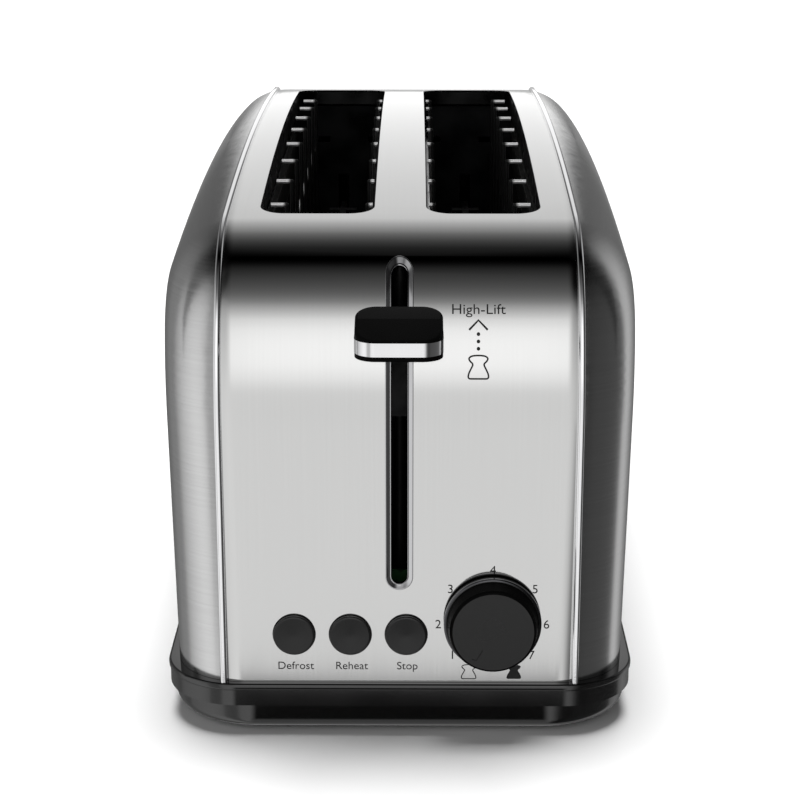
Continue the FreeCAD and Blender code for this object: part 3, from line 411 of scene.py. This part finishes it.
def divided(mesh):
    """Cuts a mark's long edges, so that it can follow a curved face."""
    work = bmesh.new()
    work.from_mesh(mesh)
    for _ in range(4):
        long_edges = [edge for edge in work.edges if edge.calc_length() > LONGEST_EDGE]
        bmesh.ops.subdivide_edges(work, edges=long_edges, cuts=1)
        bmesh.ops.triangulate(work, faces=work.faces)
    work.to_mesh(mesh)
    work.free()


def printed(name, mesh, body="housing", face=panel_face):
    """Lays a flat mark, drawn in x and z, on a face as a thin film of ink."""
    divided(mesh)
    for vertex in mesh.vertices:
        x, depth, z = vertex.co
        vertex.co.y = face(x, z) + depth
    mesh.name = name
    mesh.materials.clear()
    mesh.materials.append(ink)
    item = bpy.data.objects.new(name, mesh)
    scene.collection.objects.link(item)
    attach(item, body)


FILM = 0.05 * MM
CAPITAL_SHARE = 0.72


def lettering(name, text, x, z, height, widen=1.0):
    """A word or number centred on a point of the panel."""
    font = bpy.data.curves.new(name + "_font", "FONT")
    font.body = text
    font.size = height / CAPITAL_SHARE
    font.align_x = "CENTER"
    font.align_y = "CENTER"
    font.extrude = FILM
    font.resolution_u = 6
    item = bpy.data.objects.new(name + "_font", font)
    scene.collection.objects.link(item)
    mesh = as_mesh(item)
    for vertex in mesh.vertices:
        across, up, depth = vertex.co
        vertex.co = (x + across * widen, -depth, z + up)
    printed(name, mesh)


def line_mesh(name, points, width, cyclic=False, smooth=False, filled=False):
    """A flat line, or a filled outline, through points given in x and z."""
    curve = bpy.data.curves.new(name + "_line", "CURVE")
    curve.dimensions = "2D" if filled else "3D"
    spline = curve.splines.new("NURBS" if smooth else "POLY")
    spline.points.add(len(points) - 1)
    for point, (x, z) in zip(spline.points, points):
        point.co = (x, z, 0.0, 1.0)
    spline.use_cyclic_u = cyclic
    if smooth:
        spline.order_u = 3
        spline.use_endpoint_u = not cyclic
        spline.resolution_u = 10
    if filled:
        curve.fill_mode = "BOTH"
        curve.extrude = FILM
    else:
        curve.bevel_depth = width / 2
        curve.bevel_resolution = 2
        curve.use_fill_caps = True
    item = bpy.data.objects.new(name + "_line", curve)
    scene.collection.objects.link(item)
    mesh = as_mesh(item)
    flatten = 1.0 if filled else FILM / (width / 2)
    for vertex in mesh.vertices:
        across, up, depth = vertex.co
        vertex.co = (across, -depth * flatten, up)
    return mesh


def slice_points(x, z, width, height):
    """Outline of a slice of bread: a swelling crown over a waisted loaf."""
    half = width / 2
    shape = ((-0.5, 0.0), (0.5, 0.0), (1.0, 0.0), (1.02, 0.18), (0.72, 0.46), (0.5, 0.64), (0.82, 0.76),
             (1.0, 0.9), (0.6, 1.02), (-0.6, 1.02), (-1.0, 0.9), (-0.82, 0.76), (-0.5, 0.64),
             (-0.72, 0.46), (-1.02, 0.18), (-1.0, 0.0))
    return [(x + across * half, z + up * height) for across, up in shape]


def disc_points(x, z, radius, count=16):
    return [(x + radius * math.cos(2 * math.pi * k / count), z + radius * math.sin(2 * math.pi * k / count))
            for k in range(count)]


LABEL_LEVEL = 25.6 * MM
LABEL_HEIGHT = 2.9 * MM
LABEL_SHIFT = 0.4 * MM
for key, word in (("defrost", "Defrost"), ("reheat", "Reheat"), ("stop", "Stop")):
    lettering(key + "_label", word, middle(key + "_button").x + LABEL_SHIFT, LABEL_LEVEL, LABEL_HEIGHT)

dial = middle("browning_knob")


def on_dial(radius, turn):
    """A point in x and z, by its distance from the dial's axis and its turn from the top."""
    return (dial.x + radius * math.sin(turn), dial.z + radius * math.cos(turn))


NUMBER_RADIUS = 18.7 * MM
NUMBER_HEIGHT = 3.25 * MM
NUMBER_TURNS = (-133, -94, -51, 0, 51, 94, 133)
for number, turn in zip("1234567", NUMBER_TURNS):
    lettering("dial_number_" + number, number, *on_dial(NUMBER_RADIUS, math.radians(turn)), NUMBER_HEIGHT)

LIFT_X = 26.4 * MM
LIFT_LABEL_LEVEL = 150.8 * MM
LIFT_LABEL_HEIGHT = 3.1 * MM
LIFT_LABEL_WIDEN = 1.22
lettering("lift_label", "High-Lift", LIFT_X, LIFT_LABEL_LEVEL, LIFT_LABEL_HEIGHT, LIFT_LABEL_WIDEN)

CHEVRON_FOOT = 144.6 * MM
CHEVRON_TIP = 147.6 * MM
CHEVRON_HALF = 3.1 * MM
CHEVRON_LINE = 0.7 * MM
chevron = [(LIFT_X - CHEVRON_HALF, CHEVRON_FOOT), (LIFT_X, CHEVRON_TIP),
           (LIFT_X + CHEVRON_HALF, CHEVRON_FOOT)]
printed("lift_chevron", line_mesh("lift_chevron", chevron, CHEVRON_LINE))

DOT_LEVELS = (143.3, 141.0, 138.7)
DOT_RADIUS = 0.6 * MM
for number, level in enumerate(DOT_LEVELS):
    name = f"lift_dot_{number + 1}"
    printed(name, line_mesh(name, disc_points(LIFT_X, level * MM, DOT_RADIUS), 0, cyclic=True, filled=True))

LIFT_SLICE_LEVEL = 129.0 * MM
LIFT_SLICE_SIZE = (6.7 * MM, 7.4 * MM)
LIFT_SLICE_LINE = 0.55 * MM
lift_slice = slice_points(LIFT_X, LIFT_SLICE_LEVEL, *LIFT_SLICE_SIZE)
printed("lift_slice", line_mesh("lift_slice", lift_slice, LIFT_SLICE_LINE, cyclic=True, smooth=True))

LIGHT_SLICE_X = 24.1 * MM
DARK_SLICE_X = 39.8 * MM
DIAL_SLICE_LEVEL = 20.9 * MM
DIAL_SLICE_SIZE = (5.0 * MM, 5.2 * MM)
DIAL_SLICE_LINE = 0.35 * MM
light_slice = slice_points(LIGHT_SLICE_X, DIAL_SLICE_LEVEL, *DIAL_SLICE_SIZE)
printed("light_slice", line_mesh("light_slice", light_slice, DIAL_SLICE_LINE, cyclic=True, smooth=True))
dark_slice = slice_points(DARK_SLICE_X, DIAL_SLICE_LEVEL, *DIAL_SLICE_SIZE)
printed("dark_slice", line_mesh("dark_slice", dark_slice, 0, cyclic=True, smooth=True, filled=True))

knob_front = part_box("browning_knob")[0].y
POINTER_TURN = math.radians(209)
POINTER_HOOK = 0.12
POINTER_START = 7.4 * MM
POINTER_BEND = 11.8 * MM
POINTER_END = 12.2 * MM
POINTER_LINE = 0.5 * MM
pointer = [on_dial(POINTER_START, POINTER_TURN), on_dial(POINTER_BEND, POINTER_TURN),
           on_dial(POINTER_END, POINTER_TURN + POINTER_HOOK)]
printed("dial_pointer", line_mesh("dial_pointer", pointer, POINTER_LINE), "dial", lambda x, z: knob_front)

# ---------------------------------------------------------------- lever slot collar

COLLAR_SECTION = ((2.05, -1.1), (2.05, 0.0), (1.98, 0.14), (1.8, 0.2), (1.62, 0.12), (0.62, -0.95),
                  (0.5, -0.98), (0.36, -0.85), (0.16, -0.85), (0.04, -1.0), (0.0, -1.2), (0.0, -1.9),
                  (1.2, -1.9))
OPENING_HALF = 2.7 * MM
BESIDE_SLOT = 6.5 * MM
SLOPE_REACH = 0.4 * MM
STRAIGHT_STEPS, ROUND_STEPS = 60, 20


def face_frame(z):
    """A point of the front's outline at a height, and the outward direction there."""
    here, above, under = (panel_face(BESIDE_SLOT, level) for level in (z, z + SLOPE_REACH, z - SLOPE_REACH))
    slope = Vector((0, above - under, 2 * SLOPE_REACH)).normalized()
    return Vector((0, here, z)), Vector((0, -slope.z, slope.y))


def collar():
    """Pressed ring that funnels into the lever slot and follows the front's curve."""
    low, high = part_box("lever_slot_trim")
    bottom, top = low.z + high.x, high.z - high.x
    path = []
    for k in range(STRAIGHT_STEPS):
        path.append((bottom + (top - bottom) * k / STRAIGHT_STEPS, 0.0))
    for k in range(ROUND_STEPS):
        path.append((top, math.pi * k / ROUND_STEPS))
    for k in range(STRAIGHT_STEPS):
        path.append((top + (bottom - top) * k / STRAIGHT_STEPS, math.pi))
    for k in range(ROUND_STEPS):
        path.append((bottom, math.pi + math.pi * k / ROUND_STEPS))
    vertices, faces = [], []
    count = len(COLLAR_SECTION)
    for level, turn in path:
        across, up = math.cos(turn), math.sin(turn)
        for out, rise in COLLAR_SECTION:
            distance = OPENING_HALF + out * MM
            base, outward = face_frame(level + distance * up)
            place = base + outward * (rise * MM)
            vertices.append((distance * across, place.y, place.z))
    total = len(path)
    for i in range(total):
        for j in range(count):
            a, b = i * count + j, i * count + (j + 1) % count
            c, d = ((i + 1) % total) * count + (j + 1) % count, ((i + 1) % total) * count + j
            faces.append((a, b, c, d))
    item = shown("lever_slot_collar", vertices, faces, "collar_chrome", 50)
    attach(item, "housing")
    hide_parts("lever_slot_trim")


collar()

# ---------------------------------------------------------------- stage, light and camera

FLOOR_HALF = 6.0
floor_mesh = bpy.data.meshes.new("floor")
floor_mesh.from_pydata([(-FLOOR_HALF, -FLOOR_HALF, 0), (FLOOR_HALF, -FLOOR_HALF, 0),
                        (FLOOR_HALF, FLOOR_HALF, 0), (-FLOOR_HALF, FLOOR_HALF, 0)], [], [(0, 1, 2, 3)])
floor = bpy.data.objects.new("floor", floor_mesh)
scene.collection.objects.link(floor)
floor_paint, floor_graph, floor_inputs = material("floor_paint", 0.0, 0.9, Specular_IOR_Level=0.0)
floor_graph.feed(floor_inputs["Base Color"], floor_graph.shade(floor_graph.noise((3.0, 3.0, 3.0)),
                                                               (0.84, 0.84, 0.84), (0.86, 0.86, 0.86)))
floor_mesh.materials.append(floor_paint)
floor.visible_glossy = False

world = bpy.data.worlds.new("studio")
scene.world = world
world.use_nodes = True
sky = Graph(world.node_tree)
toward = sky.add("ShaderNodeTexCoord").outputs["Generated"]
split = sky.add("ShaderNodeSeparateXYZ", {"Vector": toward}).outputs
DEGREE = math.pi / 180
TOP_LEVEL = 1.5


def turned(value, offset=180.0, whole=360.0):
    """An angle in radians as a place from 0 to 1."""
    return sky.maths("DIVIDE", sky.maths("ADD", sky.maths("DIVIDE", value, DEGREE), offset), whole)


def by_angle(stops, offset=180.0, whole=360.0, top=TOP_LEVEL):
    return [((angle + offset) / whole, level / top) for angle, level in stops]


frontward = sky.maths("MULTIPLY", split["Y"], -1.0)
rise = turned(sky.maths("ARCTAN2", split["Z"], frontward))
azimuth = turned(sky.maths("ARCTAN2", split["X"], frontward))
elevation = turned(sky.maths("ARCSINE", split["Z"]), 90.0, 180.0)
# The levels of the first two lists follow brightness measured in the photo by reflection direction, over the
# steel's own colour, and were then tuned by comparing renders with the photo. So this is not a plain light:
# it fits that one view.
fore_and_aft = sky.ramp(rise, by_angle((
    (-180, 1.1), (-150, 0.9), (-90, 0.9), (-30, 0.97), (-2, 0.94), (4, 1.05), (10, 1.24), (20, 1.37),
    (28, 1.31), (33, 1.15), (40, 0.8), (47, 0.48), (54, 0.24), (62, 0.13), (73, 0.066), (82, 0.028), (90, 0.002),
    (99, 0.004), (109, 0.034), (120, 0.12), (132, 0.33), (146, 0.6), (160, 0.83), (170, 1.05), (180, 1.3))))
sides = sky.ramp(azimuth, by_angle((
    (-180, 0.13), (-150, 0.17), (-130, 0.27), (-117, 0.3), (-106, 0.53), (-90, 0.76), (-77, 0.9), (-65, 0.97),
    (-54, 0.9), (-44, 0.54), (-36, 0.5), (-25, 0.9), (0, 0.97), (25, 0.3), (36, 0.055), (50, 0.07),
    (77, 0.085), (95, 0.11), (104, 0.16), (112, 0.42), (121, 0.62), (132, 0.5), (145, 0.28), (160, 0.16),
    (180, 0.13))))
falloff = sky.ramp(elevation, ((0, 1), (0.5, 1), (0.58, 0.92), (0.65, 0.8), (0.72, 0.6), (0.77, 0.36),
                               (0.82, 0.14), (0.9, 0.03), (1, 0.0)))
notch = sky.ramp(rise, by_angle(((-180, 1), (0, 1), (72, 1), (84, 0.6), (94, 0.3), (104, 0.3), (116, 0.55),
                                 (130, 1), (180, 1)), top=1.0))
sideways = sky.maths("MULTIPLY", sky.maths("MULTIPLY", sides, TOP_LEVEL),
                     sky.maths("MULTIPLY", falloff, notch))

# A dark band under the front keeps the base dark beside the bright panel. Its upper edge is very narrow.
BAND_LEVEL = 0.03
BELOW_BAND_LEVEL = 0.5
BAND_TOP = (-24.85, -24.65)
BAND_FADE = (-29.0, -45.0)
rise_angle = sky.maths("SUBTRACT", sky.maths("MULTIPLY", rise, 360.0), 180.0)
over_foot = sky.spread(rise_angle, BAND_LEVEL, 1.0, *BAND_TOP)
before_foot = sky.spread(rise_angle, BAND_LEVEL, BELOW_BAND_LEVEL, *BAND_FADE)
lengthwise = sky.maths("MULTIPLY", sky.maths("MULTIPLY", fore_and_aft, TOP_LEVEL),
                       sky.maths("MAXIMUM", over_foot, before_foot))
TURNS_SIDEWAYS, FULLY_SIDEWAYS = 0.1, 0.24
off_axis = sky.maths("ABSOLUTE", split["X"])
outward = sky.add("ShaderNodeMapRange", {"Value": off_axis, "From Min": TURNS_SIDEWAYS,
                                         "From Max": FULLY_SIDEWAYS},
                  interpolation_type="SMOOTHSTEP").outputs[0]
glow = sky.add("ShaderNodeMix", {"Factor": outward, **dict(zip(MIX_NUMBERS, (lengthwise, sideways)))},
               data_type="FLOAT").outputs[0]
backdrop = sky.add("ShaderNodeBackground", {"Color": (1, 1, 1, 1), "Strength": glow})
sky.tree.links.new(backdrop.outputs[0], sky.add("ShaderNodeOutputWorld").inputs[0])

SUN_POWER = 4.4
SUN_SPREAD = math.radians(34)
SUN_TILT = math.radians(-11)
SUN_HEIGHT = 1.5
overhead = bpy.data.lights.new("overhead", "SUN")
overhead.energy = SUN_POWER
overhead.angle = SUN_SPREAD
overhead_item = bpy.data.objects.new("overhead", overhead)
overhead_item.location = (0.0, 0.0, SUN_HEIGHT)
overhead_item.rotation_euler = (SUN_TILT, 0.0, 0.0)
overhead_item.visible_glossy = False
scene.collection.objects.link(overhead_item)

CAMERA_LENS = 95.6
CAMERA_SENSOR = 36.0
CAMERA_PLACE = (0.005, -0.8606, 0.3304)
CAMERA_DOWN = math.radians(17.08)
CAMERA_TURN = math.radians(0.4)
camera = bpy.data.cameras.new("camera")
camera.lens = CAMERA_LENS
camera.sensor_width = CAMERA_SENSOR
camera.clip_start = 0.01
camera_item = bpy.data.objects.new("camera", camera)
camera_item.location = CAMERA_PLACE
camera_item.rotation_euler = (math.pi / 2 - CAMERA_DOWN, 0.0, CAMERA_TURN)
scene.collection.objects.link(camera_item)
scene.camera = camera_item
scene.view_settings.view_transform = "Standard"
